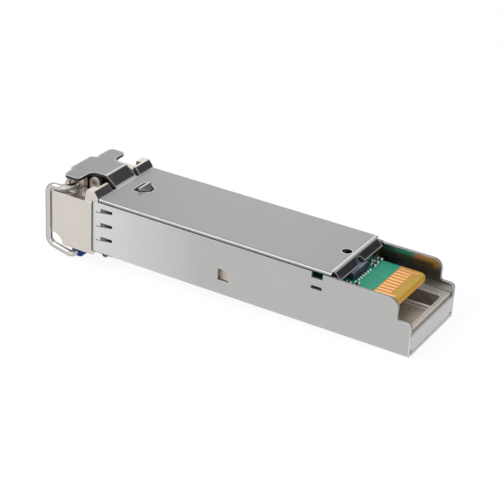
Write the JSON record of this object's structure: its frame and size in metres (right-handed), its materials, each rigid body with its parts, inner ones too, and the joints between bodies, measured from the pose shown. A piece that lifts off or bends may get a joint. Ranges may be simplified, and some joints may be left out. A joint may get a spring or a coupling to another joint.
{
  "type": "sfp plus transceiver",
  "caption": "Small pluggable optical transceiver: folded metal shell, cast nose with fibre ports, hinged wire bail with a moulded grip, rocker latch and a card edge.",
  "frame": {"origin": "on the outer label face, in the middle plane, level with the flat shoulder of the latch boss", "axes": "+X runs from the fibre ports to the card edge, +Z points out of the latch face, +Y to the receiver's side"},
  "size_m": [0.057, 0.0138, 0.0123],
  "materials": {
    "zinc_casting": "satin tumbled casting",
    "side_sheet": "satin plated sheet",
    "cover_sheet": "satin plated sheet",
    "tray_metal": "fine blasted",
    "board_laminate": "glossy solder mask",
    "gold_plate": "plated",
    "chip_package": "moulded, slightly glossy",
    "tin_plate": "bright tin",
    "chip_ceramic": "fired ceramic",
    "gap_pad": "soft matte",
    "spring_steel": "bright",
    "wire_steel": "polished",
    "barrel_steel": "turned",
    "zirconia": "ground ceramic",
    "can_plate": "gold-plated can",
    "flex_film": "amber film",
    "grip_plastic": "glossy moulded"
  },
  "bodies": {
    "housing": {"nose_housing": "zinc_casting", "lower_shell": "side_sheet", "top_cover": "cover_sheet", "base_tray": "tray_metal", "circuit_board": "board_laminate", "contact_pads_top": "gold_plate", "contact_pads_bottom": "gold_plate", "laser_driver": "chip_package", "driver_leads": "tin_plate", "chip_passives_top": "chip_ceramic", "chip_passives_bottom": "chip_ceramic", "controller_chip": "chip_package", "amplifier_chip": "chip_package", "memory_chip": "chip_package", "thermal_pad": "gap_pad", "optics_clamp": "side_sheet", "ground_fingers": "spring_steel", "latch_pivot_pin": "wire_steel", "latch_spring": "spring_steel", "transmitter_barrel": "barrel_steel", "receiver_barrel": "barrel_steel", "transmitter_sleeve": "zirconia", "receiver_sleeve": "zirconia", "transmitter_stub": "zirconia", "receiver_stub": "zirconia", "transmitter_can": "can_plate", "receiver_can": "can_plate", "transmitter_pins": "gold_plate", "receiver_pins": "gold_plate", "transmitter_flex": "flex_film", "receiver_flex": "flex_film"},
    "bail_handle": {"bail": "wire_steel", "bail_grip": "grip_plastic"},
    "rocker": {"latch_lever": "zinc_casting"}
  },
  "joints": [
    {"name": "bail_swing", "type": "hinge", "parent": "housing", "child": "bail_handle", "pos_m": [-0.00845, 0, 0.0082], "axis": [0, 1, 0], "range_deg": [0, 90]},
    {"name": "latch_rock", "type": "hinge", "parent": "housing", "child": "rocker", "pos_m": [-0.0062, 0, 0.00855], "axis": [0, 1, 0], "range_deg": [0, 6], "stiffness_Nm_per_rad": 0.004, "springref_deg": -8.59, "deforming": ["latch_spring"]}
  ],
  "couplings": [
    {"joint": "latch_rock", "follows": "bail_swing", "ratio": 0.066}
  ]
}
